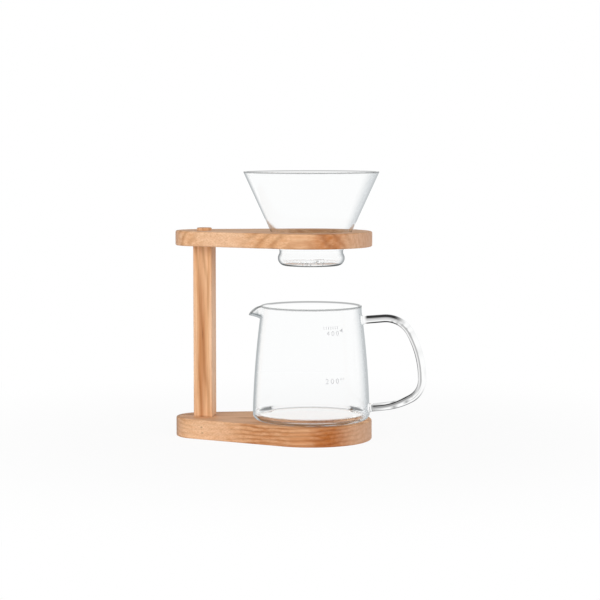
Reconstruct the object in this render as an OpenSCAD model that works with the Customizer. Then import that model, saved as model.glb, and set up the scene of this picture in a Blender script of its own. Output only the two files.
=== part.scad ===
// Pour-over coffee set: a wooden stand, a glass dripper in its upper board and a glass jug below.
// Millimetres. The origin is on the underside of the base board, on the upright axis that the
// dripper and the jug share. +X runs towards the jug's handle, and the post stands at -X.

/* [Boards] */
// Radius of the wide end of both boards
wide_end_r = 49; // [46:0.5:60]
// Radius of the narrow end of both boards
narrow_end_r = 22; // [15:0.5:30]
// Distance between the centres of the two ends
end_spacing = 90; // [75:1:120]
// Thickness of the base board
base_t = 16; // [14:0.5:24]
// Thickness of the upper board
upper_t = 12; // [10:0.5:18]
// Rounding of the boards' edges
board_edge_r = 1.2; // [0.5:0.1:3]

/* [Post] */
// Side of the square post
post_w = 15.5; // [13.5:0.5:22]
// Distance from the jug's axis to the post's axis
post_offset = 88.5; // [75:0.5:110]
// Clear height between the two boards
bay_h = 140; // [135:1:190]
// Rounding of the post's upright edges
post_edge_r = 1; // [0.3:0.1:2.5]
// Diameter of the round tenons on the post's ends
tenon_d = 12; // [8:0.5:13]
// Height of the upper tenon above the upper board
tenon_proud = 2.2; // [0.8:0.1:6]
// Bevel round the end of a tenon
tenon_bevel = 0.5; // [0.2:0.1:0.7]
// Length of the lower tenon, inside the base board
foot_tenon_l = 9; // [5:0.5:11]
// Gap between a tenon and its hole, all round
tenon_gap = 0.1; // [0.05:0.05:0.3]

/* [Base screw] */
// Diameter of the screw's shank
screw_d = 4; // [3:0.1:5]
// Diameter of the screw's countersunk head
screw_head_d = 8; // [6.5:0.1:10]
// Length of the screw, head included
screw_l = 40; // [25:1:60]
// Depth of the head below the underside of the base
screw_recess = 0.8; // [0.3:0.1:2]
// Length of the screw's point
screw_point_l = 5; // [3:0.5:8]
// Width of the slots of the cross recess
cross_w = 1; // [0.6:0.1:1.4]
// Depth of the cross recess
cross_depth = 1.5; // [0.8:0.1:1.8]
// Gap between the screw and the wood
screw_gap = 0.1; // [0.05:0.05:0.3]

/* [Dripper] */
// Outside diameter of the cone, carried up to the rim's height
cone_top_d = 109.4; // [100:0.2:120]
// Outside diameter of the cone at the top of the upper board
seat_d = 65.4; // [62:0.2:72]
// Height of the rim above the upper board
rim_rise = 48; // [40:0.5:60]
// Depth of the dripper's underside below the top of the upper board
cup_drop = 27.5; // [25:0.5:34]
// Largest outside diameter of the cup under the cone
cup_d = 53.8; // [50:0.2:56]
// Rounding of the cup's outside
cup_r = 6; // [4.8:0.1:7]
// Fillet at the waist between the cup and the cone
waist_r = 4; // [2:0.2:6]
// Depth of the waist inside the outside of the cup
waist_depth = 1.35; // [0.5:0.05:3]
// Wall of the dripper
dripper_wall = 2.4; // [1.8:0.1:3.2]
// Thickness of the dripper's floor
dripper_floor_t = 3; // [2:0.1:4.6]
// Rounding between the dripper's floor and its inner wall
dripper_inner_r = 3; // [1:0.2:4.6]
// Rounding of the rim's two edges
rim_edge_r = 0.5; // [0.2:0.1:0.8]
// Number of drain holes in the floor, and of the ribs between them
drain_count = 3; // [2:1:5]
// Diameter of a drain hole
drain_d = 4.5; // [3:0.1:6]
// Distance of the drain holes from the axis
drain_offset = 7.5; // [6:0.5:13]
// Height of the ribs that hold the filter off the floor
rib_h = 1.5; // [0.8:0.1:3]
// Width of a rib
rib_w = 3; // [1.5:0.1:4]
// Reach of a rib from the axis
rib_reach = 15; // [8:0.5:18]
// Gap between the cone and its seat in the upper board
seat_gap = 0.3; // [0.2:0.05:0.6]
// Gap between the cup and the hole that it passes through
bore_gap = 1.1; // [0.6:0.1:2]
// Bevel at the upper edge of the seat
seat_bevel = 0.6; // [0.2:0.1:1.5]

/* [Jug] */
// Height of the jug
jug_h = 92.4; // [84:0.2:112]
// Outside diameter of the wall just above the foot
jug_base_d = 94.5; // [84:0.5:97]
// Outside diameter of the wall at the rim, without the flare
jug_neck_d = 79.8; // [70:0.2:86]
// Swell of the wall beyond a straight taper
jug_belly = 1.3; // [0:0.1:2]
// Outward flare of the rim
rim_flare = 0.9; // [0:0.1:2]
// Height of the flared stretch
rim_flare_h = 7; // [4:0.5:12]
// Wall of the jug
jug_wall = 2; // [1.6:0.1:3]
// Thickness of the jug's floor at the standing ring
jug_floor_t = 3.2; // [2.6:0.1:5]
// Rounding of the foot's outside
jug_foot_r = 5; // [3:0.2:8]
// Rounding between the jug's floor and its inner wall
jug_inner_r = 4; // [2:0.2:8]
// Width of the ring that the jug stands on
jug_ring_w = 6; // [3:0.5:12]
// Hollow of the underside inside the standing ring
jug_kick = 1.2; // [0.5:0.1:1.6]

/* [Spout] */
// Reach of the spout's tip beyond the rim
spout_reach = 11; // [5:0.5:14]
// Drop of the tip below the rim
spout_drop = 7.5; // [2:0.5:8]
// Depth of the wall that is drawn out into the spout
spout_depth = 13; // [10:0.5:18]
// Half the angle of the rim that the spout takes up
spout_half_angle = 22; // [14:1:30]
// Share by which the glass thins towards the tip
spout_thinning = 0.3; // [0:0.05:0.5]

/* [Handle] */
// Diameter of the handle's glass rod
rod_d = 6.6; // [5:0.1:8]
// Reach of the handle's centre line from the jug's axis
handle_reach = 90.4; // [80:0.2:105]
// Distance of the upper arm below the rim
upper_arm_drop = 9.5; // [7:0.5:16]
// Height of the lower arm above the foot
lower_arm_h = 11.9; // [9:0.1:20]
// Radius of the handle's upper corner
upper_corner_r = 22.2; // [12:0.1:24]
// Lean of the handle's long side, in degrees at its upper end
side_lean = 29; // [15:1:40]
// Slope of the upper arm down to the wall, in degrees
upper_arm_slope = 5.5; // [0:0.5:8]
// Radius of the handle's lower corner
lower_corner_r = 17.8; // [12:0.1:24]
// Turn of the lower corner, in degrees
lower_corner_turn = 61; // [45:1:70]
// Radius of the bend that leads into the lower arm
lower_arm_r = 57; // [40:1:80]
// Turn of that bend, in degrees
lower_arm_turn = 21.7; // [10:0.1:29]
// Diameter of the weld where the rod meets the wall
weld_d = 8.6; // [7:0.1:11]
// Length of the flare from the rod to its weld
weld_l = 3; // [2:0.5:6]

/* [Hidden] */
$fn = 96;

// A cut runs past the face that it opens through by this much
through = 1;
// Steps in the rounding of a small edge, and in that of a larger one
edge_steps = 5;
round_steps = 10;
// Sides of a board's round ends, and steps in the rounding of its edges
board_sides = 64;
board_edge_steps = 3;
wood = "#dfb187";
post_wood = "#d6a673";
steel = "#b9bcc0";
glass = "#dbe7ea";

// Heights of the seats
upper_z = base_t + bay_h;
seat_z = upper_z + upper_t;
dripper_z = seat_z - cup_drop;

// Points along an arc about c, from angle a0 to angle a1
function arc(c, r, a0, a1, steps) = [for (i = [0 : steps])
    let (a = a0 + (a1 - a0) * i / steps)
    c + r * [cos(a), sin(a)]];

// A disc whose edge is rounded above and below
module rounded_disc(r, t) {
    rotate_extrude($fn = board_sides) polygon(concat(
        [[0, 0]],
        arc([r - board_edge_r, board_edge_r], board_edge_r, -90, 0, board_edge_steps),
        arc([r - board_edge_r, t - board_edge_r], board_edge_r, 0, 90, board_edge_steps),
        [[0, t]]));
}

// Both boards have one outline: a wide and a narrow round end, joined by straight sides
module board(t) {
    hull() {
        rounded_disc(wide_end_r, t);
        translate([-end_spacing, 0, 0]) rounded_disc(narrow_end_r, t);
    }
}

module at_post() {
    translate([-post_offset, 0, 0]) children();
}

// The screw goes up through the base into the foot of the post
screw_head_h = (screw_head_d - screw_d) / 2;

function screw_profile(gap) = [
    [0, 0],
    [screw_head_d / 2 + gap, 0],
    [screw_d / 2 + gap, screw_head_h],
    [screw_d / 2 + gap, screw_l - screw_point_l],
    [0, screw_l + gap]];

module screw_hole() {
    translate([0, 0, screw_recess]) rotate_extrude() polygon(screw_profile(screw_gap));
    translate([0, 0, -through]) cylinder(d = screw_head_d + 2 * screw_gap, h = screw_recess + through);
}

module base_board() {
    color(wood) difference() {
        board(base_t);
        at_post() {
            screw_hole();
            translate([0, 0, base_t - foot_tenon_l - tenon_gap])
                cylinder(d = tenon_d + 2 * tenon_gap, h = foot_tenon_l + tenon_gap + through);
        }
    }
}

module base_screw() {
    color(steel) at_post() translate([0, 0, screw_recess]) difference() {
        rotate_extrude() polygon(screw_profile(0));
        for (turn = [0, 90]) rotate([0, 0, turn]) translate([-screw_d / 2, -cross_w / 2, -through])
            cube([screw_d, cross_w, cross_depth + through]);
    }
}

// Half section of a tenon that stands on z = 0, with a bevelled end
function tenon_profile(l) = [
    [0, 0],
    [tenon_d / 2, 0],
    [tenon_d / 2, l - tenon_bevel],
    [tenon_d / 2 - tenon_bevel, l],
    [0, l]];

module post() {
    corner = post_w / 2 - post_edge_r;
    outline = [for (turn = [0 : 90 : 270])
        let (centre = corner * [cos(turn) - sin(turn), sin(turn) + cos(turn)])
        each arc(centre, post_edge_r, turn, turn + 90, edge_steps)];
    color(post_wood) at_post() difference() {
        union() {
            translate([0, 0, base_t]) linear_extrude(bay_h) polygon(outline);
            translate([0, 0, upper_z]) rotate_extrude() polygon(tenon_profile(upper_t + tenon_proud));
            translate([0, 0, base_t]) mirror([0, 0, 1])
                rotate_extrude() polygon(tenon_profile(foot_tenon_l));
        }
        screw_hole();
    }
}

// The fillet at the dripper's waist touches the cup's round outside
dripper_h = rim_rise + cup_drop;
cup_centre = [cup_d / 2 - cup_r, cup_r];
waist_out = cup_r + waist_r - waist_depth;
waist_turn = acos(waist_out / (cup_r + waist_r));
waist_centre = cup_centre + (cup_r + waist_r) * [cos(waist_turn), sin(waist_turn)];

// The cone leans outwards from the seat to the rim. Below the seat its outside runs on to the
// waist, which it touches, and at the sizes given the two stretches are one straight cone.
seat_point = [seat_d / 2, cup_drop];
seat_above = seat_point - waist_centre;
cone_angle = atan((cone_top_d - seat_d) / 2 / rim_rise);
wall_angle = atan2(seat_above[0], seat_above[1]) + asin(waist_r / norm(seat_above));

function cone_r(z, offset) =
    let (lean = z < cup_drop ? wall_angle : cone_angle)
    seat_d / 2 + (z - cup_drop) * tan(lean) + offset / cos(lean);

// The wall keeps its thickness from the rim round the waist and the cup, down to the rounding of
// the floor, which meets the inside of the cup at corner_z
rim_edge_z = dripper_h - rim_edge_r;
cup_inside_r = cup_r - dripper_wall;
corner_z = dripper_floor_t + dripper_inner_r;
corner_turn = asin((corner_z - cup_r) / cup_inside_r);
inner_corner = [cup_centre[0] + cup_inside_r * cos(corner_turn) - dripper_inner_r, corner_z];

module dripper_section() {
    polygon(concat(
        [[0, 0]],
        arc(cup_centre, cup_r, -90, waist_turn, round_steps),
        arc(waist_centre, waist_r, 180 + waist_turn, 180 - wall_angle, edge_steps),
        [seat_point],
        arc([cone_r(rim_edge_z, -rim_edge_r), rim_edge_z], rim_edge_r, -cone_angle, 90, edge_steps),
        arc([cone_r(rim_edge_z, rim_edge_r - dripper_wall), rim_edge_z], rim_edge_r,
            90, 180 - cone_angle, edge_steps),
        [[cone_r(cup_drop, -dripper_wall), cup_drop]],
        arc(waist_centre, waist_r + dripper_wall, 180 - wall_angle, 180 + waist_turn, round_steps),
        arc(cup_centre, cup_inside_r, waist_turn, corner_turn, edge_steps),
        arc(inner_corner, dripper_inner_r, 0, -90, edge_steps),
        [[0, dripper_floor_t]]));
}

module dripper() {
    color(glass) translate([0, 0, dripper_z]) difference() {
        union() {
            rotate_extrude() dripper_section();
            for (i = [0 : drain_count - 1]) rotate([0, 0, 360 * (i + 0.5) / drain_count])
                translate([0, -rib_w / 2, 0]) {
                    cube([rib_reach, rib_w, dripper_floor_t + rib_h]);
                    translate([rib_reach, rib_w / 2, 0]) cylinder(d = rib_w, h = dripper_floor_t + rib_h);
                }
        }
        for (i = [0 : drain_count - 1]) rotate([0, 0, 360 * i / drain_count])
            translate([drain_offset, 0, -through]) cylinder(d = drain_d, h = dripper_floor_t + 2 * through);
    }
}

// The hole in the upper board: a bore that clears the cup, and a seat at the slope of the cone
module dripper_hole() {
    start = cup_drop - upper_t - through;
    seat_end = cup_drop - seat_bevel;
    end_r = cone_r(seat_end, seat_gap);
    translate([0, 0, start]) cylinder(r = cup_d / 2 + bore_gap, h = upper_t + through);
    rotate_extrude() polygon([
        [0, start],
        [cone_r(start, seat_gap), start],
        [end_r, seat_end],
        [end_r + seat_bevel + through, cup_drop + through],
        [0, cup_drop + through]]);
}

module dripper_board() {
    color(wood) difference() {
        translate([0, 0, upper_z]) board(upper_t);
        at_post() translate([0, 0, upper_z - through])
            cylinder(d = tenon_d + 2 * tenon_gap, h = upper_t + 2 * through);
        translate([0, 0, dripper_z]) dripper_hole();
    }
}

// Outside radius of the jug's wall at height z above its foot
function wall_share(z) = (z - jug_foot_r) / (jug_h - jug_foot_r);
function flare_share(z) = max(0, (z - jug_h + rim_flare_h) / rim_flare_h);
function jug_r(z) = (jug_base_d + (jug_neck_d - jug_base_d) * wall_share(z)) / 2
    + jug_belly * 4 * wall_share(z) * (1 - wall_share(z)) + rim_flare * flare_share(z) ^ 2;

// Heights at which the wall's section has a point, closer together in the flare
jug_rim_z = jug_h - jug_wall / 2;
jug_rim = [jug_r(jug_rim_z) - jug_wall / 2, jug_rim_z];
flare_z = jug_h - rim_flare_h;
function wall_heights(start) = concat(
    [for (i = [0 : round_steps - 1]) start + (flare_z - start) * i / round_steps],
    [for (i = [0 : edge_steps]) flare_z + (jug_rim_z - flare_z) * i / edge_steps]);
function wall_line(start, inset) = [for (z = wall_heights(start)) [jug_r(z) - inset, z]];
function backwards(points) = [for (i = [len(points) - 1 : -1 : 0]) points[i]];

jug_foot_c = jug_r(jug_foot_r) - jug_foot_r;
jug_inner_z = jug_floor_t + jug_inner_r;
jug_hollow_r = jug_foot_c - jug_ring_w;

module jug_form() {
    rotate_extrude() polygon(concat(
        [[0, jug_kick], [jug_hollow_r - jug_kick, jug_kick], [jug_hollow_r, 0]],
        arc([jug_foot_c, jug_foot_r], jug_foot_r, -90, 0, round_steps),
        wall_line(jug_foot_r, 0),
        arc(jug_rim, jug_wall / 2, 0, 90, edge_steps),
        [[0, jug_h]]));
}

module jug_hollow() {
    inner_r = jug_r(jug_inner_z) - jug_wall;
    rotate_extrude() polygon(concat(
        [[0, jug_floor_t]],
        arc([inner_r - jug_inner_r, jug_inner_z], jug_inner_r, -90, 0, edge_steps),
        wall_line(jug_inner_z, jug_wall),
        arc(jug_rim, jug_wall / 2, 180, 90, edge_steps),
        [[jug_rim[0], jug_h + through], [0, jug_h + through]]));
}

// The spout is a patch of the wall drawn out and down. At share s of the half angle it is pulled
// by pull(s), and q runs from the root of the patch, at 0, to its lip, at 1.
// The patch keeps spout_sink inside the wall's faces, and its thin border is buried in the wall.
spout_root_z = jug_h - spout_depth;
spout_sink = 0.05;
spout_border = 0.12;
border_thinning = 0.5;
lip_angles = [45, 90, 135];
spout_columns = 12;
spout_rows = 8;
spout_bend = 2.2;
spout_curl = 1.9;
tangent_step = 0.01;

function pull(s) = abs(s) < 1 ? cos(90 * s) ^ 2 : 0;
function spout_mid(q, s) =
    let (z = spout_root_z + q * (jug_rim_z - spout_root_z), drawn = max(q, 0))
    [jug_r(z) - jug_wall / 2 + spout_reach * pull(s) * drawn ^ spout_bend,
     z - spout_drop * pull(s) ^ spout_curl * drawn];
function spout_along(q, s) =
    let (d = spout_mid(q + tangent_step, s) - spout_mid(q - tangent_step, s))
    d / norm(d);
function spout_half_t(q, s) =
    let (thinning = q < 0 || abs(s) > 1 ? border_thinning : spout_thinning * pull(s) * q)
    (jug_wall / 2 - spout_sink) * (1 - thinning);
function spout_face(q, s, side) =
    let (u = spout_along(q, s))
    spout_mid(q, s) + side * spout_half_t(q, s) * [u[1], -u[0]];
function spout_lip(a, s) =
    let (u = spout_along(1, s))
    spout_mid(1, s) + spout_half_t(1, s) * (cos(a) * [u[1], -u[0]] + sin(a) * u);

spout_q = concat([-spout_border], [for (i = [0 : spout_rows]) i / spout_rows]);
spout_s = concat(
    [-1 - spout_border],
    [for (i = [-spout_columns : spout_columns]) i / spout_columns],
    [1 + spout_border]);
function spout_section(s) = concat(
    [for (q = spout_q) spout_face(q, s, 1)],
    [for (a = lip_angles) spout_lip(a, s)],
    [for (q = backwards(spout_q)) spout_face(q, s, -1)]);

module spout() {
    points = [for (s = spout_s) for (p = spout_section(s))
        [-p[0] * cos(spout_half_angle * s), -p[0] * sin(spout_half_angle * s), p[1]]];
    polyhedron(points, tube_faces(len(spout_s), len(spout_section(0))));
}

// The wall behind the patch is cut away by a wedge that runs from inside the jug to well outside it
module spout_window() {
    inner = jug_r(spout_root_z) - 2 * jug_wall;
    rotate([0, 0, 180 - spout_half_angle]) rotate_extrude(angle = 2 * spout_half_angle)
        translate([inner, spout_root_z]) square([jug_base_d, spout_depth + through]);
}

module jug_body() {
    color(glass) translate([0, 0, base_t]) union() {
        difference() {
            jug_form();
            jug_hollow();
            spout_window();
        }
        spout();
    }
}

// The handle is one rod, swept along bends that all turn the same way, from the lower arm up the
// long side to the upper arm. Each bend is [radius, turn], and the rod is upright where the long
// side starts. Its long side is as tall as the two arms leave room for.
lower_turn = lower_corner_turn + lower_arm_turn;
lower_rise = lower_corner_r * sin(lower_corner_turn)
    + lower_arm_r * (sin(lower_turn) - sin(lower_corner_turn));
side_start = [handle_reach, lower_arm_h + lower_rise];
side_rise = jug_h - upper_arm_drop - side_start[1] - upper_corner_r * (1 - sin(side_lean));
bends = [
    [lower_arm_r, lower_arm_turn],
    [lower_corner_r, lower_corner_turn],
    [side_rise / sin(side_lean), side_lean],
    [upper_corner_r, 90 - side_lean + upper_arm_slope]];
side_bend = 2;
last_bend = len(bends) - 1;
rod_sides = 16;
bend_steps = 8;
flare_steps = 3;

// Heading of the centre line and its place where bend i starts, in the plane of x and z
function heading(i) = i == side_bend ? 90
    : i < side_bend ? heading(i + 1) - bends[i][1]
    : heading(i - 1) + bends[i - 1][1];
function along_bend(p, h, r, turn) = p + r * [sin(h + turn) - sin(h), cos(h) - cos(h + turn)];
function bend_start(i) = i == side_bend ? side_start
    : i < side_bend ? along_bend(bend_start(i + 1), heading(i + 1), bends[i][0], -bends[i][1])
    : along_bend(bend_start(i - 1), heading(i - 1), bends[i - 1][0], bends[i - 1][1]);

// Where an arm that reaches p at heading h comes out of a wall of radius r
function arm_root(p, h, r) = p + (r - p[0]) / cos(h) * [cos(h), sin(h)];

// Distance from the wall's outside and radius of the rings that widen the rod to its weld
weld_rings = concat([[-jug_wall, weld_d / 2]], [for (i = [0 : flare_steps])
    [weld_l * i / flare_steps, (rod_d + (weld_d - rod_d) * (1 - i / flare_steps) ^ 2) / 2]]);

// Each ring of the rod is its centre, heading and radius
function arm_rings(root, h, way, welds) =
    [for (w = welds) [root + way * w[0] * [cos(h), sin(h)], h, w[1]]];
function bend_rings(i) =
    let (p = bend_start(i), h = heading(i), r = bends[i][0])
    [for (k = [0 : bend_steps]) let (turn = bends[i][1] * k / bend_steps)
        if (k < bend_steps || i == last_bend) [along_bend(p, h, r, turn), h + turn, rod_d / 2]];
rod_end = last_bend + 1;
lower_root = arm_root(bend_start(0), heading(0), jug_r(lower_arm_h));
upper_root = arm_root(bend_start(rod_end), heading(rod_end), jug_r(jug_h - upper_arm_drop));
rod_rings = concat(
    arm_rings(lower_root, heading(0), 1, weld_rings),
    [for (i = [0 : last_bend]) each bend_rings(i)],
    arm_rings(upper_root, heading(rod_end), -1, backwards(weld_rings)));

// Skin of a tube over count rings of points, with an end cap at each end
function tube_faces(count, ring) = concat(
    [for (j = [0 : count - 2]) for (i = [0 : ring - 1])
        let (a = j * ring + i, b = j * ring + (i + 1) % ring)
        each [[a, b, a + ring], [b, b + ring, a + ring]]],
    [[for (i = [ring - 1 : -1 : 0]) i], [for (i = [0 : ring - 1]) (count - 1) * ring + i]]);

module rod() {
    points = [for (k = rod_rings) for (i = [0 : rod_sides - 1])
        let (a = -360 * i / rod_sides, out = k[2] * cos(a))
        [k[0][0] + out * sin(k[1]), k[2] * sin(a), k[0][1] - out * cos(k[1])]];
    polyhedron(points, tube_faces(len(rod_rings), rod_sides));
}

module jug_handle() {
    color(glass) translate([0, 0, base_t]) difference() {
        rod();
        jug_form();
    }
}

base_board();
post();
dripper_board();
base_screw();
dripper();
jug_body();
jug_handle();
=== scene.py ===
"""Looks of a wooden pour-over stand with its glass dripper and its glass jug.

Everything is in metres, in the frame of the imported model: the origin is on the underside of the base
board, on the upright axis that the dripper and the jug share, and the post stands at -X.
"""

import logging
import math
from dataclasses import dataclass
from enum import Enum
from typing import Callable, Iterable, Sequence

import bmesh
import bpy
from bmesh.types import BMesh, BMEdge, BMVert
from mathutils import Matrix, Vector


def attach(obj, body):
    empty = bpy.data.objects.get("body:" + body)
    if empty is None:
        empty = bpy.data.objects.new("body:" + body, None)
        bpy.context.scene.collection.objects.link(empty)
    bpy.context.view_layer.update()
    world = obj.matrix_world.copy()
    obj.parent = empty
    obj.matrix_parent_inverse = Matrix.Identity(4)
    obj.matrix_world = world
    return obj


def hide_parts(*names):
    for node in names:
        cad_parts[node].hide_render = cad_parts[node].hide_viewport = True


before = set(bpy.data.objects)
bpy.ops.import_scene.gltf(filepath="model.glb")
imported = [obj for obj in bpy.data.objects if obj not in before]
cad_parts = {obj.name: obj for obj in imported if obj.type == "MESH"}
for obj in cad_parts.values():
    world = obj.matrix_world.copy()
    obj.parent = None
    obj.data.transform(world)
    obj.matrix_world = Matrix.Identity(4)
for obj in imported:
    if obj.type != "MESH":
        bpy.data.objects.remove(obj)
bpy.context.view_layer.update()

MM = 0.001
# Points that are closer to each other than this are one point.
WELD = 1e-7
SAME_HEIGHT = 10 * WELD
# The attribute that marks the lips of the glass pieces.
LIP = "lip"
ORIGIN = (0.0, 0.0, 0.0)
WHITE = (1.0, 1.0, 1.0, 1.0)
LOG = logging.getLogger("pour_over_set")

Colour = tuple[float, float, float]
Place = tuple[float, float, float]
Point = tuple[float, float]


def srgb(red: int, green: int, blue: int) -> Colour:
    """A colour as it shows on a screen, from 0 to 255, as linear light."""
    shares = [channel / 255 for channel in (red, green, blue)]
    return tuple(s / 12.92 if s <= 0.04045 else ((s + 0.055) / 1.055) ** 2.4 for s in shares)


def wire_operator(operation: str, swapped: bool = False) -> Callable[["Wire", "Wire | float"], "Wire"]:
    """Makes one of a wire's operators.

    Args:
        operation: The Math node's operation.
        swapped: Whether the wire comes second.

    Returns:
        The method.
    """

    def apply(self: "Wire", other: "Wire | float") -> "Wire":
        """Puts the wire and another value through the operation."""
        return self.recipe.math(operation, *((other, self) if swapped else (self, other)))

    return apply


class Wire:
    """A value socket of a shader that takes part in Python arithmetic."""

    def __init__(self, recipe: "Recipe", socket: bpy.types.NodeSocket) -> None:
        """Wraps one output socket of a recipe's node tree."""
        self.recipe = recipe
        self.socket = socket

    __add__ = __radd__ = wire_operator("ADD")
    __sub__ = wire_operator("SUBTRACT")
    __rsub__ = wire_operator("SUBTRACT", swapped=True)
    __mul__ = __rmul__ = wire_operator("MULTIPLY")
    __truediv__ = wire_operator("DIVIDE")
    __pow__ = wire_operator("POWER")

    def ramp(self, low: float, high: float) -> "Wire":
        """A smooth step from 0 at low to 1 at high."""
        inputs = {"Value": self, "From Min": low, "From Max": high}
        return self.recipe.wire("ShaderNodeMapRange", {"interpolation_type": "SMOOTHSTEP"}, inputs)

    def fall(self, low: float, high: float) -> "Wire":
        """A smooth step from 1 at low to 0 at high."""
        return 1 - self.ramp(low, high)


class Recipe:
    """The node tree of one material, or of the world."""

    def __init__(self, owner: bpy.types.Material | bpy.types.World) -> None:
        """Empties the owner's tree.

        Args:
            owner: The material or the world.
        """
        owner.use_nodes = True
        self.owner = owner
        self.tree = owner.node_tree
        self.tree.nodes.clear()

    def node(self, kind: str, settings: dict | None = None, inputs: dict | None = None) -> bpy.types.Node:
        """Adds a node.

        Args:
            kind: The node's type.
            settings: Its own options, set first.
            inputs: Values of its sockets, or what is linked to them, by name or place.

        Returns:
            The node.
        """
        made = self.tree.nodes.new(kind)
        for name, value in (settings or {}).items():
            setattr(made, name, value)
        for key, value in (inputs or {}).items():
            if isinstance(value, Wire):
                self.tree.links.new(value.socket, made.inputs[key])
            elif isinstance(value, bpy.types.Node):
                self.tree.links.new(value.outputs[0], made.inputs[key])
            else:
                made.inputs[key].default_value = value
        return made

    def wire(
        self, kind: str, settings: dict | None = None, inputs: dict | None = None, output: int | str = 0
    ) -> Wire:
        """Adds a node and returns one of its outputs, ready for arithmetic."""
        return Wire(self, self.node(kind, settings, inputs).outputs[output])

    def math(self, operation: str, *values: Wire | float, clamp: bool = False) -> Wire:
        """The result of a Math node's operation on these values, kept from 0 to 1 if it is clamped."""
        settings = {"operation": operation, "use_clamp": clamp}
        return self.wire("ShaderNodeMath", settings, dict(enumerate(values)))

    def coords(self) -> Wire:
        """The place on the piece."""
        return self.wire("ShaderNodeTexCoord", output="Object")

    def mapped(self, vector: Wire, **inputs: Place) -> Wire:
        """A vector put through a Mapping node, with a Location, a Rotation or a Scale."""
        return self.wire("ShaderNodeMapping", inputs={"Vector": vector, **inputs})

    def noise(self, place: Wire, waves: float, detail: float, grit: float) -> Wire:
        """Noise from 0 to 1, by its waves per metre, its finer layers and how rough those are."""
        inputs = {"Vector": place, "Scale": waves, "Detail": detail, "Roughness": grit}
        return self.wire("ShaderNodeTexNoise", inputs=inputs)

    def length(self, vector: Wire) -> Wire:
        """The length of a vector."""
        return self.wire("ShaderNodeVectorMath", {"operation": "LENGTH"}, {0: vector}, output="Value")

    def split(self, vector: Wire) -> list[Wire]:
        """The three parts of a vector."""
        parts = self.node("ShaderNodeSeparateXYZ", inputs={"Vector": vector}).outputs
        return [Wire(self, part) for part in parts]

    def seen(self) -> Wire:
        """1 for a ray from the camera, from a mirror or through glass, else 0."""
        path = self.node("ShaderNodeLightPath").outputs
        return self.math(
            "ADD",
            Wire(self, path["Is Camera Ray"]) + Wire(self, path["Is Glossy Ray"]),
            Wire(self, path["Is Transmission Ray"]),
            clamp=True,
        )

    def mix(self, share: Wire, first: Wire | Colour, second: Colour, way: str = "MIX") -> Wire:
        """Mixes two colours.

        Args:
            share: How much of the second there is.
            first: The colour at 0.
            second: The colour at 1.
            way: The blend type.

        Returns:
            The mixed colour.
        """
        under = first if isinstance(first, Wire) else (*first, 1.0)
        settings = {"data_type": "RGBA", "blend_type": way}
        return self.wire("ShaderNodeMix", settings, {0: share, 6: under, 7: (*second, 1.0)}, output=2)

    def blend(self, share: Wire, first: bpy.types.Node, second: bpy.types.Node) -> bpy.types.Node:
        """Mixes two shaders by the second one's share."""
        return self.node("ShaderNodeMixShader", inputs={0: share, 1: first, 2: second})

    def opening(self, tint: Colour) -> bpy.types.Node:
        """A shader that lets the view straight through, with a tint."""
        return self.node("ShaderNodeBsdfTransparent", inputs={"Color": (*tint, 1.0)})

    def finish(self, shader: bpy.types.Node, kind: str = "ShaderNodeOutputMaterial") -> bpy.types.ID:
        """Links the finished shader to the tree's output and returns the material or world."""
        self.node(kind, inputs={"Surface": shader})
        return self.owner


class Grain(Enum):
    """The way that a piece of wood's fibres run, as the turn that lays them along X."""

    ALONG = (0.0, 0.0, 0.0)
    UPRIGHT = (0.0, math.pi / 2, 0.0)


@dataclass(frozen=True)
class Spot:
    """A place in the wood with another colour, and its reach along each axis, in millimetres; some spots are
    marks of the wood, some are painted light and some are painted shade.
    """

    place: Place
    reach: Place
    share: float
    core: float = 0.2

    def share_at(self, recipe: Recipe, coords: Wire) -> Wire:
        """How much of the spot's colour there is, from its middle outwards.

        Args:
            recipe: The material's tree.
            coords: The place on the piece.

        Returns:
            The colour's share.
        """
        low = tuple(-place / reach for place, reach in zip(self.place, self.reach))
        scale = tuple(1 / (reach * MM) for reach in self.reach)
        near = recipe.length(recipe.mapped(coords, Location=low, Scale=scale))
        return near.fall(self.core, 1.0) * self.share


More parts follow.
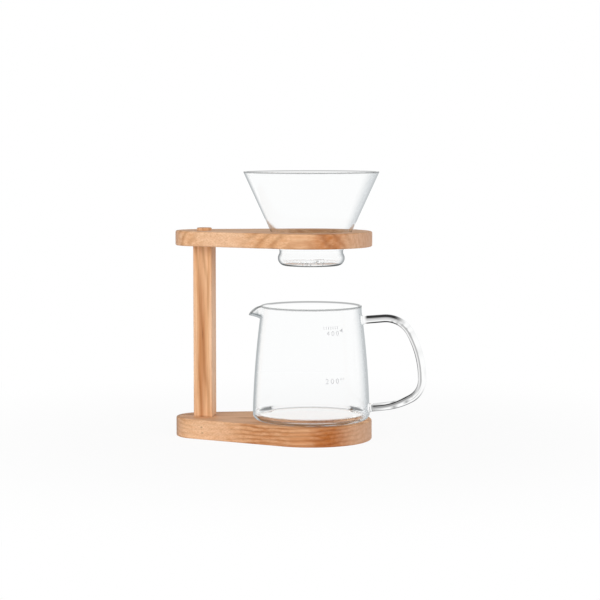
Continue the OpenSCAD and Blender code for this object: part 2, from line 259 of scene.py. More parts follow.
@dataclass(frozen=True)
class WoodFinish:
    """Pale beech with a thin clear finish, cut from a trunk whose heart lies beside the piece.

    Each kind of noise in it has its waves per metre, along the fibres and across them both ways.
    """

    name: str
    grain: Grain
    heart: Place
    seed: float
    warm_spots: tuple[Spot, ...]
    pale_and_painted_light_spots: tuple[Spot, ...]
    dark_and_painted_shade_spots: tuple[Spot, ...]
    heart_r: float = 2.5 * MM
    ring_gap: float = 4.4 * MM
    ring_share: float = 0.7
    taper: float = 0.05
    grit: float = 0.55
    drift: float = 11 * MM
    drift_waves: Place = (8.0, 40.0, 40.0)
    ripple: float = 1.4 * MM
    ripple_waves: Place = (28.0, 230.0, 230.0)
    streak_waves: Place = (11.0, 430.0, 430.0)
    fibre_waves: Place = (40.0, 1700.0, 1700.0)
    fleck_waves: Place = (420.0, 2900.0, 2900.0)
    pore_waves: Place = (150.0, 1500.0, 260.0)
    bright: Colour = srgb(251, 212, 178)
    pale: Colour = srgb(248, 203, 160)
    plain: Colour = srgb(231, 176, 128)
    deep: Colour = srgb(186, 122, 72)
    darker: Colour = (0.6, 0.46, 0.33)
    warm: Colour = srgb(176, 97, 28)
    end: Colour = srgb(212, 172, 146)
    fleck: Colour = srgb(132, 84, 52)
    pale_fade: float = 2.2
    end_share: float = 0.68
    pore_share: float = 0.3
    fibre_share: float = 0.42
    fleck_share: float = 0.35

    def make(self) -> bpy.types.Material:
        """Makes the material: growth rings about the heart, streaks, fibres, flecks, end grain, and spots of
        tone, of painted light and of painted shade.

        Returns:
            The material.
        """
        recipe = Recipe(bpy.data.materials.new(self.name))
        coords = recipe.coords()
        normal = recipe.wire("ShaderNodeNewGeometry", output="Normal")
        along = recipe.split(recipe.mapped(normal, Rotation=self.grain.value))[0]
        ends = recipe.math("ABSOLUTE", along).ramp(0.45, 0.95)
        laid = recipe.mapped(coords, Location=self.heart, Rotation=self.grain.value)
        streak = self._noise(recipe, laid, self.streak_waves, detail=3.0)
        fibre = self._noise(recipe, laid, self.fibre_waves)
        fleck = self._noise(recipe, laid, self.fleck_waves, detail=1.0).ramp(0.67, 0.75)
        pores = self._noise(recipe, laid, self.pore_waves).ramp(0.45, 0.7)
        line = self._rings(recipe, laid)
        # Pale spots, among them painted light on the post's faces, fade the ring lines and lighten the wood.
        pale_and_painted_light_shares = [spot.share_at(recipe, coords) for spot in self.pale_and_painted_light_spots]
        for share in pale_and_painted_light_shares:
            line = line * (1 - share * self.pale_fade)
        colour = recipe.mix(streak.ramp(0.3, 0.7), self.pale, self.plain)
        for spot in self.warm_spots:
            colour = recipe.mix(spot.share_at(recipe, coords) * (0.5 + streak), colour, self.warm)
        colour = recipe.mix(ends * self.end_share, colour, self.end)
        colour = recipe.mix(line * (1 - ends * 0.75), colour, self.darker, "MULTIPLY")
        layers = [(share, self.bright) for share in pale_and_painted_light_shares]
        layers += [
            (fibre.ramp(0.4, 0.75) * (1 - ends) * self.fibre_share, self.deep),
            (ends * pores * self.pore_share, self.deep),
            (fleck * self.fleck_share, self.fleck),
        ]
        # Dark spots: knots, a slit, darker narrow ends, and painted shade in the upper board's bore and round
        # the post's foot.
        layers += [(spot.share_at(recipe, coords), self.fleck) for spot in self.dark_and_painted_shade_spots]
        for share, tone in layers:
            colour = recipe.mix(share, colour, tone)
        relief = recipe.node(
            "ShaderNodeBump",
            inputs={"Strength": 0.2, "Distance": 0.1 * MM, "Height": 1 - fibre * 0.6 - fleck * 0.6},
        )
        shader = recipe.node(
            "ShaderNodeBsdfPrincipled",
            inputs={
                "Base Color": colour,
                "Roughness": 0.48 + fibre * 0.14,
                "Specular IOR Level": 0.25,
                "Normal": relief,
            },
        )
        return recipe.finish(shader)

    def _rings(self, recipe: Recipe, laid: Wire) -> Wire:
        """The dark lines of the growth rings, which wander and taper along the trunk.

        Args:
            recipe: The material's tree.
            laid: The place in the wood, with its fibres along X.

        Returns:
            How dark the lines are.
        """
        drift = self._noise(recipe, laid, self.drift_waves)
        ripple = self._noise(recipe, laid, self.ripple_waves)
        along, across, height = recipe.split(laid)
        radius = (across * across + height * height + self.heart_r**2) ** 0.5
        rings = radius - along * self.taper + (drift - 0.5) * self.drift + (ripple - 0.5) * self.ripple
        wave = recipe.math("SINE", rings * (math.tau / self.ring_gap)) * 0.5 + 0.5
        return wave * wave * (0.35 + drift * 0.9) * self.ring_share

    def _noise(self, recipe: Recipe, laid: Wire, waves: Place, detail: float = 2.0) -> Wire:
        """Noise drawn out along the fibres, by its waves per metre and how many finer layers it has."""
        spread = recipe.mapped(laid, Location=(self.seed, 2 * self.seed, 3 * self.seed), Scale=waves)
        return recipe.noise(spread, 1.0, detail, self.grit)


UPPER_WOOD = WoodFinish(
    "upper_board_wood", Grain.ALONG, heart=(0.0, 104 * MM, -145 * MM), seed=3.1,
    warm_spots=(
        Spot((0, -40, 162), (190, 60, 40), 0.12),
        Spot((27, -49, 160), (27, 24, 26), 0.72),
    ),
    pale_and_painted_light_spots=(
        Spot((-70, -33, 160), (42, 30, 30), 0.45),
        Spot((2, -54, 160), (30, 20, 24), 0.12),
    ),
    dark_and_painted_shade_spots=(
        # Painted shade: the far wall of the bore under the dripper is painted darker.
        Spot((0, 31, 167), (62, 16, 9), 0.45),
        Spot((-114, -4, 160), (6, 40, 30), 1.0),
    ),
)
BASE_WOOD = WoodFinish(
    "base_board_wood", Grain.ALONG, heart=(0.0, 0.0, 300 * MM), seed=7.7,
    ring_gap=3.6 * MM, ring_share=1.0,
    warm_spots=(
        Spot((0, -49, 6), (125, 46, 34), 0.42),
        Spot((28, -49, 5), (28, 28, 28), 0.85),
    ),
    pale_and_painted_light_spots=(Spot((-80, -28, 8), (40, 34, 30), 0.33),),
    dark_and_painted_shade_spots=(
        Spot((-85.5, -24.5, 10), (1.7, 1.7, 1.2), 0.5),
        Spot((-84.7, -24.7, 5.5), (1.9, 1.7, 1.0), 0.42),
        Spot((-114, -4, 8), (8, 40, 30), 0.9),
    ),
)
POST_WOOD = WoodFinish(
    "post_wood", Grain.UPRIGHT, heart=(0.0, 12 * MM, -80 * MM), seed=11.3,
    warm_spots=(Spot((-89, -8, 75), (5, 8, 110), 0.6),),
    pale_and_painted_light_spots=(
        # Painted light: paler bands down the post's right face and, weaker, its left face.
        Spot((-80.7, -2, 75), (4, 12, 110), 0.95),
        Spot((-96.3, -8, 75), (5, 8, 110), 0.5),
    ),
    dark_and_painted_shade_spots=(
        Spot((-88.2, -7.75, 84.1), (0.4, 1.0, 6.5), 0.8),
        # Painted shade: a dark band round the foot of the post, where it meets the base.
        Spot((-88.5, 0, 16), (16, 16, 2.2), 0.75),
    ),
)


class Stretch(Enum):
    """The stretches of the rod handle."""

    UPPER_ARM = "upper arm"
    SIDE = "side"
    LOWER_ARM = "lower arm"


@dataclass(frozen=True)
class Stripe:
    """A painted reflection: a grey stripe along a stretch of the rod, from the outside of the bend at -1 to
    its inside at 1.
    """

    stretch: Stretch
    start: float
    end: float
    tone: int
    blur: float = 0.08

    def share_at(self, towards: Wire) -> Wire:
        """How much of the stripe there is where the rod's face looks so far towards the inside."""
        start, end = ((edge - self.blur, edge + self.blur) for edge in (self.start, self.end))
        return towards.ramp(*start) * towards.fall(*end)


# Painted reflections: grey and dark stripes along the rod's arms and side, in the tones of what the glass
# would mirror and bend into view.
ROD_PAINTED_REFLECTIONS = (
    Stripe(Stretch.UPPER_ARM, -0.12, 0.3, 222),
    Stripe(Stretch.UPPER_ARM, -0.32, -0.12, 170),
    Stripe(Stretch.UPPER_ARM, -0.96, -0.34, 54),
    Stripe(Stretch.UPPER_ARM, 0.58, 1.0, 30),
    Stripe(Stretch.SIDE, -0.02, 0.36, 186),
    Stripe(Stretch.SIDE, 0.36, 0.7, 238),
    Stripe(Stretch.SIDE, 0.72, 1.2, 90),
    Stripe(Stretch.LOWER_ARM, -1.2, -0.74, 140),
    Stripe(Stretch.LOWER_ARM, -0.35, -0.12, 215),
    Stripe(Stretch.LOWER_ARM, -0.15, 0.2, 160),
    Stripe(Stretch.LOWER_ARM, 0.84, 1.2, 196),
    Stripe(Stretch.LOWER_ARM, 0.22, 0.5, 40),
)


# A layer of a glass finish: its share, and its tint or its shader.
Layer = tuple[Wire, Colour | bpy.types.Node]


class GlassFace:
    """What a glass finish reads of the face that a ray meets, such as its place and its turn from the eye."""

    def __init__(self, recipe: Recipe) -> None:
        """Adds the nodes that give the readings.

        Args:
            recipe: The material's tree.
        """
        geometry = recipe.node("ShaderNodeNewGeometry").outputs
        self.recipe = recipe
        self.x, self.y, self.z = recipe.split(recipe.coords())
        self.normal = recipe.split(Wire(recipe, geometry["Normal"]))
        self.rise = recipe.math("ABSOLUTE", self.normal[2])
        self.outside = 1 - Wire(recipe, geometry["Backfacing"])
        self.turn = recipe.wire("ShaderNodeLayerWeight", inputs={"Blend": 0.5}, output="Facing")
        self.lip = recipe.wire("ShaderNodeAttribute", {"attribute_name": LIP}, output="Fac")


@dataclass(frozen=True)
class GlassFinish:
    """Clear heat-resistant glass, with thin grey lines along its outlines and its lips and stripes on its
    rod, all painted as painted shade and painted reflections.

    A pair that ends in turn says from how far a face turns away from the eye a line starts and is full.

    Attributes:
        lit_from: The height from which light trapped in the glass shows as painted light, up to lit_to.
        wall_from: The height from which the glass is a thin wall.
        line_turn: The turn of the thin painted outlines.
        mirror_to: The height up to which the foot mirrors what it stands on.
        deep_to: The height up to which the painted outlines are wide.
        seat_z: The height of the seat that the glass sits in.
        shine_h: How far above the seat the glass mirrors the board, less shine_lean on the handle's side.
        spout_left: Where the root of the spout starts on X, up to spout_right.
        spout_low: The height of that root.
        rod_from: Where the rod starts, as a distance out that leans with the wall by rod_lean.
        rod_middle: The point that the rod bends round, on X and Z.
        last_bounce: How many times a ray may turn in the glass, last_mirror of them as in a mirror.
    """

    name: str
    lit_from: float
    lit_to: float
    wall_from: float
    line_turn: Point
    mirror_to: float
    deep_to: float = -1.0
    seat_z: float = -1.0
    spout_left: float = -1.0
    spout_right: float = -1.0
    spout_low: float = 1.0
    rod_from: float = 1.0
    rod_lean: float = 0.0817
    rod_middle: Point = (64 * MM, 64 * MM)
    painted_reflections: tuple[Stripe, ...] = ()
    clear: Colour = (0.994, 0.996, 0.996)
    # The tints from edge to trapped are painted shade and painted reflections: grey lines, and the grey of
    # rays that turn too often.
    edge: Colour = srgb(214, 219, 222)
    outline: Colour = srgb(184, 188, 190)
    soft_line: Colour = srgb(220, 223, 225)
    cup_line: Colour = srgb(148, 151, 153)
    lip_line: Colour = srgb(150, 152, 152)
    foot_line: Colour = srgb(104, 106, 106)
    rod_line: Colour = srgb(232, 234, 236)
    trapped: Colour = (0.5, 0.505, 0.51)
    edge_turn: Point = (0.5, 0.75)
    soft_turn: Point = (0.4, 0.7)
    wide_turn: Point = (0.52, 0.8)
    shine_turn: Point = (0.72, 0.95)
    sheen_turn: Point = (0.6, 0.92)
    spout_turn: Point = (0.3, 0.55)
    foot_turn: Point = (0.3, 0.7)
    rod_turn: Point = (0.6, 0.9)
    ring_share: float = 0.62
    gloss_share: float = 0.4
    sheen_share: float = 0.8
    shine_share: float = 0.85
    lip_share: float = 0.78
    shine_h: float = 9 * MM
    shine_lean: float = 3 * MM
    shine_gain: float = 0.35
    ior: float = 1.47
    last_bounce: float = 8.5
    last_mirror: float = 2.5

    def make(self) -> bpy.types.Material:
        """Makes the material. Light that falls on other pieces goes straight through it.

        Returns:
            The material.
        """
        recipe = Recipe(bpy.data.materials.new(self.name))
        face = GlassFace(recipe)
        on_rod = self._out(face).ramp(self.rod_from, self.rod_from + 3 * MM)
        off_rod = 1 - on_rod
        radial = face.normal[0] * face.x + face.normal[1] * face.y
        outer = radial.ramp(5 * MM, 15 * MM) * off_rod
        inner = radial.fall(-8 * MM, -2 * MM) * face.outside * off_rod
        # Painted shade: the outer faces are tinted grey where they turn away from the eye.
        tint = recipe.mix(face.turn.ramp(*self.edge_turn) * outer, self.clear, self.edge)
        shader = recipe.node(
            "ShaderNodeBsdfPrincipled",
            inputs={"Base Color": tint, "Roughness": 0.0, "IOR": self.ior, "Transmission Weight": 1.0},
        )
        mirror = recipe.node("ShaderNodeBsdfGlossy", inputs={"Color": WHITE, "Roughness": 0.0})
        level = face.rise.ramp(0.8, 0.95)
        upright = 1 - level * face.z.fall(self.spout_low - 5 * MM, self.spout_low - 3 * MM)
        wall = face.z.ramp(self.wall_from, self.wall_from + 2 * MM) * upright * off_rod
        corner = inner * face.z.fall(self.wall_from + 2 * MM, self.wall_from + 4 * MM)
        ring = inner * face.z.fall(self.wall_from - 1.2 * MM, self.wall_from - 0.2 * MM)
        gloss = recipe.wire("ShaderNodeFresnel", inputs={"IOR": self.ior}) * face.outside * wall
        low = face.z.fall(self.mirror_to - 2 * MM, self.mirror_to) * face.outside
        rod = face.outside * on_rod
        # The ring, the outlines, the lip lines, the rod's stripes and its outline are painted shade and
        # painted reflections; the mirrors are real.
        layers: list[Layer] = [
            (wall, self.clear),
            (corner, self.clear),
            (ring * self.ring_share, self.lip_line),
            (gloss * self.gloss_share, mirror),
            (face.turn.ramp(*self.sheen_turn) * low * self.sheen_share, mirror),
            *self._line_layers(face, outer * face.outside, mirror),
            *self._under_layers(face),
            (face.lip * face.outside * (1 - level * 0.6) * self.lip_share, self.lip_line),
            ((1 - face.outside) * on_rod, self.clear),
            *self._stripe_layers(face, rod),
            (face.turn.ramp(*self.rod_turn) * rod, self.rod_line),
            *self._spent_layers(face),
        ]
        for share, layer in layers:
            over = layer if isinstance(layer, bpy.types.Node) else recipe.opening(layer)
            shader = recipe.blend(share, shader, over)
        return recipe.finish(shader)

    def _out(self, face: GlassFace) -> Wire:
        """How far out towards the handle a face is, along the lean of the wall."""
        return face.x + face.z * self.rod_lean

    def _line_layers(self, face: GlassFace, wall: Wire, mirror: bpy.types.Node) -> list[Layer]:
        """The lines painted along the outlines as painted shade: thin, soft on the handle's side, wide low
        down, with mirrors at the seat.

        Args:
            face: The face that a ray meets.
            wall: Where the outer faces of the walls are seen from the air.
            mirror: The shader that mirrors the board under the cone.

        Returns:
            Each line's share, and its tint or its shader.
        """
        right = face.x.ramp(0.0, 20 * MM)
        deep = face.z.fall(self.deep_to - 2 * MM, self.deep_to)
        root = face.x.ramp(self.spout_left - 2 * MM, self.spout_left)
        root = root * face.x.fall(self.spout_right, self.spout_right + 4 * MM)
        root = root * face.z.ramp(self.spout_low, self.spout_low + 3 * MM)
        shine_top = self.seat_z + self.shine_h
        near_seat = (shine_top - face.z - right * self.shine_lean) * (self.shine_gain / self.shine_h)
        low_cone = near_seat.ramp(0.0, 0.06) * face.z.ramp(self.seat_z - 3 * MM, self.seat_z)
        shine = (face.turn + near_seat).ramp(*self.shine_turn) * low_cone * self.shine_share
        soft = face.turn.ramp(*self.soft_turn) * right
        thin = face.turn.ramp(*self.line_turn) * (1 - deep) * (1 - root)
        thin = thin * (1 - right * 0.25) * (1 - low_cone * 0.5)
        wide = face.turn.ramp(*self.wide_turn) * deep * (1 - right * 0.2)
        return [
            (soft * wall, self.soft_line),
            (shine * wall, mirror),
            (thin * wall, self.outline),
            (wide * wall, self.cup_line),
        ]

    def _under_layers(self, face: GlassFace) -> list[Layer]:
        """The lines of painted shade under the spout and under the cup.

        Args:
            face: The face that a ray meets.

        Returns:
            Each line's share and its tint.
        """
        drawn = face.x.fall(self.spout_left + MM, self.spout_left + 4 * MM)
        drawn = drawn * face.z.ramp(self.spout_low - 5 * MM, self.spout_low - 3 * MM)
        under_spout = face.turn.ramp(*self.spout_turn) * face.rise.ramp(0.25, 0.5) * drawn
        foot_z = self.deep_to - 12 * MM
        under_cup = face.turn.ramp(*self.foot_turn) * face.z.fall(foot_z - 0.5 * MM, foot_z + 0.5 * MM)
        return [
            (under_spout * face.outside, self.outline),
            (under_cup * face.outside, self.foot_line),
        ]

    def _stripe_layers(self, face: GlassFace, rod: Wire) -> list[Layer]:
        """The stripes painted along the rod as painted reflections, and the outside of its long bend, which
        shows what is behind it.

        Args:
            face: The face that a ray meets.
            rod: Where the rod is seen from the air.

        Returns:
            Each stripe's share and its tint.
        """
        across, up = face.x - self.rod_middle[0], face.z - self.rod_middle[1]
        away = (across * across + up * up) ** 0.5
        towards = (face.normal[0] * across + face.normal[2] * up) / away * -1
        aside = across / away
        above = (up / away).ramp(-0.3, 0.3)
        side = (aside - (1 - above) * 0.46).ramp(0.1, 0.42)
        slide = aside.ramp(-0.2, 0.6) * towards.ramp(-0.6, -0.2) * 0.53
        stretches = {
            Stretch.UPPER_ARM: (towards, (1 - side) * above),
            Stretch.SIDE: (towards, side),
            Stretch.LOWER_ARM: (towards - slide, (1 - side) * (1 - above)),
        }
        layers: list[Layer] = [(towards.fall(-0.25, 0.0) * side * 0.85 * rod, self.clear)]
        for stripe in self.painted_reflections:
            turn, part = stretches[stripe.stretch]
            layers.append((stripe.share_at(turn) * part * rod, srgb(*[stripe.tone] * 3)))
        return layers

    def _spent_layers(self, face: GlassFace) -> list[Layer]:
        """What a ray meets that has turned too often in the glass: painted shade, and painted light in the
        lit zones; and a clear way for shadow rays.

        Args:
            face: The face that a ray meets.

        Returns:
            Each layer's share and its tint.
        """
        recipe, out = face.recipe, self._out(face)
        path = recipe.node("ShaderNodeLightPath").outputs
        limits = {"Ray Depth": self.last_bounce, "Glossy Depth": self.last_mirror}
        over = [recipe.math("GREATER_THAN", Wire(recipe, path[name]), most) for name, most in limits.items()]
        spent = recipe.math("MAXIMUM", *over)
        between = face.z.ramp(self.lit_from, self.lit_from + MM) * face.z.fall(self.lit_to, self.lit_to + MM)
        beside = recipe.math("ABSOLUTE", face.y).fall(9 * MM, 10 * MM)
        weld_and_rod = out.ramp(self.rod_from - 14 * MM, self.rod_from - 12 * MM) * beside
        # Painted light: in these zones a spent ray shows clear white instead of the painted grey.
        lit = recipe.math("MAXIMUM", between, weld_and_rod)
        clear_way = recipe.math("MAXIMUM", spent * lit, Wire(recipe, path["Is Shadow Ray"]))
        return [(spent * (1 - lit), self.trapped), (clear_way, self.clear)]


@dataclass(frozen=True)
class SpeckledFinish:
    """A plain finish whose colour and roughness vary with a fine speckle.

    Attributes:
        shade: The darkest colour, as a share of the lightest.
        waves: The speckle's waves per metre.
        rough: The roughness where the speckle is lightest and darkest.
    """

    name: str
    colour: Colour
    shade: float
    waves: float
    rough: Point
    detail: float = 2.0
    grit: float = 0.5
    metallic: float = 0.0

    def make(self) -> bpy.types.Material:
        """Makes the material.

        Returns:
            The material.
        """
        recipe = Recipe(bpy.data.materials.new(self.name))
        speckle = recipe.noise(recipe.coords(), self.waves, self.detail, self.grit)
        colour = recipe.mix(speckle, self.colour, tuple(self.shade * c for c in self.colour))
        rough = self.rough[0] + speckle * (self.rough[1] - self.rough[0])
        inputs = {"Base Color": colour, "Metallic": self.metallic, "Roughness": rough}
        return recipe.finish(recipe.node("ShaderNodeBsdfPrincipled", inputs=inputs))


PLAIN_STEEL = SpeckledFinish(
    "plain_steel", (0.62, 0.63, 0.65), shade=0.8, waves=900.0, rough=(0.28, 0.48),
    detail=3.0, grit=0.6, metallic=1.0,
)
GREY_ENAMEL = SpeckledFinish(
    "grey_enamel", srgb(212, 213, 215), shade=0.92, waves=2500.0, rough=(0.55, 0.55)
)


def points_of(parts: Iterable) -> list[BMVert]:
    """The points among parts of a mesh."""
    return [part for part in parts if isinstance(part, BMVert)]


class Section:
    """A half section in an upright plane, drawn from point to point and turned about an upright axis."""

    def __init__(self, bm: BMesh, start: Point, axis_x: float = 0.0) -> None:
        """Starts the section.

        Args:
            bm: The mesh that it is drawn in.
            start: Its first point, as the distance from the axis and the height.
            axis_x: Where the axis stands on X.
        """
        self.bm = bm
        self.axis_x = axis_x
        self.there_before = {*bm.verts, *bm.edges}
        self.tip = bm.verts.new((axis_x + start[0], 0.0, start[1]))

    def line(self, *points: Point) -> "Section":
        """Draws on to these points.

        Args:
            points: Each as the distance from the axis and the height.

        Returns:
            The section, to draw on.
        """
        for r, z in points:
            self.tip = bmesh.ops.extrude_vert_indiv(self.bm, verts=[self.tip])["verts"][0]
            self.tip.co = (self.axis_x + r, 0.0, z)
        return self

    def arc(self, centre: Point, turn: float, steps: int) -> "Section":
        """Draws on along an arc.

        Args:
            centre: The arc's centre, as the distance from the axis and the height.
            turn: Its angle in degrees, where a turn from out to up is positive.
            steps: How many edges it has.

        Returns:
            The section, to draw on.
        """
        middle = (self.axis_x + centre[0], 0.0, centre[1])
        made = bmesh.ops.spin(
            self.bm, geom=[self.tip], cent=middle, axis=(0, -1, 0), angle=math.radians(turn), steps=steps
        )
        self.tip = points_of(made["geom_last"])[0]
        return self

    def chain(self) -> list[BMVert | BMEdge]:
        """The points and edges drawn so far."""
        return [part for part in (*self.bm.verts, *self.bm.edges) if part not in self.there_before]

    def turn(self, steps: int) -> None:
        """Turns the section all the way round its axis."""
        way = {"cent": (self.axis_x, 0.0, 0.0), "axis": (0, 0, 1), "angle": math.tau}
        bmesh.ops.spin(self.bm, geom=self.chain(), steps=steps, use_merge=True, **way)


def close_up(bm: BMesh) -> None:
    """Welds a mesh's seams and poles and points its faces outwards.

    Args:
        bm: The mesh.
    """
    bmesh.ops.remove_doubles(bm, verts=bm.verts, dist=WELD)
    bmesh.ops.dissolve_degenerate(bm, edges=bm.edges, dist=WELD)
    bmesh.ops.recalc_face_normals(bm, faces=bm.faces)


def fill_at(bm: BMesh, *heights: float) -> None:
    """Closes a mesh with flat faces at the heights where its walls end.

    Args:
        bm: The mesh.
        heights: The heights.
    """
    close_up(bm)
    for z in heights:
        edges = [
            edge
            for edge in bm.edges
            if len(edge.link_faces) == 1 and all(abs(vert.co.z - z) < SAME_HEIGHT for vert in edge.verts)
        ]
        bmesh.ops.triangle_fill(bm, use_beauty=True, edges=edges)
    close_up(bm)


def round_off(bm: BMesh, edges: list[BMEdge], offset: float, segments: int) -> None:
    """Rounds edges of a mesh."""
    bmesh.ops.bevel(
        bm, geom=edges, offset=offset, affect="EDGES", segments=segments, profile=0.5, material=-1
    )


def add_block(bm: BMesh, size: Place, centre: Place) -> None:
    """Adds a block of a size about a centre."""
    bmesh.ops.create_cube(bm, size=1.0, matrix=Matrix.Translation(centre) @ Matrix.Diagonal((*size, 1.0)))


def turn_about_z(bm: BMesh, verts: Sequence[BMVert], angle: float) -> None:
    """Turns points about the upright axis through the origin."""
    bmesh.ops.rotate(bm, verts=verts, cent=ORIGIN, matrix=Matrix.Rotation(angle, 3, "Z"))


def rising_edges(bm: BMesh, rise: float) -> list[BMEdge]:
    """The edges that rise by more than a height."""
    return [edge for edge in bm.edges if abs(edge.verts[0].co.z - edge.verts[1].co.z) > rise]


def sweep(
    bm: BMesh, chain: list, steps: int = 1, angle: float = 0.0,
    centre: Iterable[float] = ORIGIN, axis: Place = (0, 0, 1), slide: Iterable[float] = ORIGIN,
) -> list:
    """Carries a chain of edges round a centre or along a line, and returns it at its last place."""
    made = bmesh.ops.spin(bm, geom=chain, cent=centre, axis=axis, angle=angle, dvec=slide, steps=steps)
    return made["geom_last"]


def lift(bm: BMesh, z: float) -> None:
    """Lifts a mesh to a height."""
    bmesh.ops.translate(bm, verts=bm.verts, vec=(0.0, 0.0, z))


def mark_lip(bm: BMesh, z: float) -> None:
    """Marks the points above a height as the lip of a glass piece.

    Args:
        bm: The mesh.
        z: The height.
    """
    layer = bm.verts.layers.float.new(LIP)
    for vert in bm.verts:
        vert[layer] = float(vert.co.z > z)


def as_object(bm: BMesh, name: str) -> bpy.types.Object:
    """Makes an object of a finished mesh, which it frees.

    Args:
        bm: The mesh.
        name: The object's name.

    Returns:
        The object, at the origin.
    """
    mesh = bpy.data.meshes.new(name)
    bm.to_mesh(mesh)
    bm.free()
    made = bpy.data.objects.new(name, mesh)
    bpy.context.scene.collection.objects.link(made)
    return made


def smooth(piece: bpy.types.Object, sharp_over: float = 40.0) -> bpy.types.Object:
    """Shades a piece smoothly.

    Args:
        piece: The piece.
        sharp_over: The angle in degrees above which an edge stays sharp.

    Returns:
        The piece.
    """
    piece.data.shade_smooth()
    piece.data.set_sharp_from_angle(angle=math.radians(sharp_over))
    even = piece.modifiers.new("even_shading", "WEIGHTED_NORMAL")
    even.keep_sharp = True
    even.weight = 100
    return piece


def combine(piece: bpy.types.Object, tool: bpy.types.Object, operation: str) -> None:
    """Joins a tool to a piece or cuts it out of it, and removes the tool.

    Args:
        piece: The piece, whose mesh changes.
        tool: The solid that is joined or cut out.
        operation: UNION or DIFFERENCE.
    """
    cut = piece.modifiers.new("cut", "BOOLEAN")
    cut.operation = operation
    cut.solver = "EXACT"
    cut.object = tool
    depsgraph = bpy.context.evaluated_depsgraph_get()
    mesh = bpy.data.meshes.new_from_object(piece.evaluated_get(depsgraph))
    piece.modifiers.clear()
    old, piece.data = piece.data, mesh
    mesh.name = piece.name
    bpy.data.meshes.remove(old)
    bpy.data.meshes.remove(tool.data)


def weld(piece: bpy.types.Object) -> None:
    """Welds what the cuts leave open in a piece.

    Args:
        piece: The piece, whose mesh changes.
    """
    bm = bmesh.new()
    bm.from_mesh(piece.data)
    close_up(bm)
    bm.to_mesh(piece.data)
    bm.free()


def settle(
    piece: bpy.types.Object, material: bpy.types.Material, body: str, nodes: Sequence[str]
) -> None:
    """Dresses a piece, sets it on its body and reports it.

    Args:
        piece: The finished piece.
        material: Its finish.
        body: The body that it rides on.
        nodes: The nodes that it stands for.
    """
    piece.data.materials.clear()
    piece.data.materials.append(material)
    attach(piece, body)
    if nodes:
        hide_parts(*nodes)
    LOG.info("%s: %d faces on %s", piece.name, len(piece.data.polygons), body)


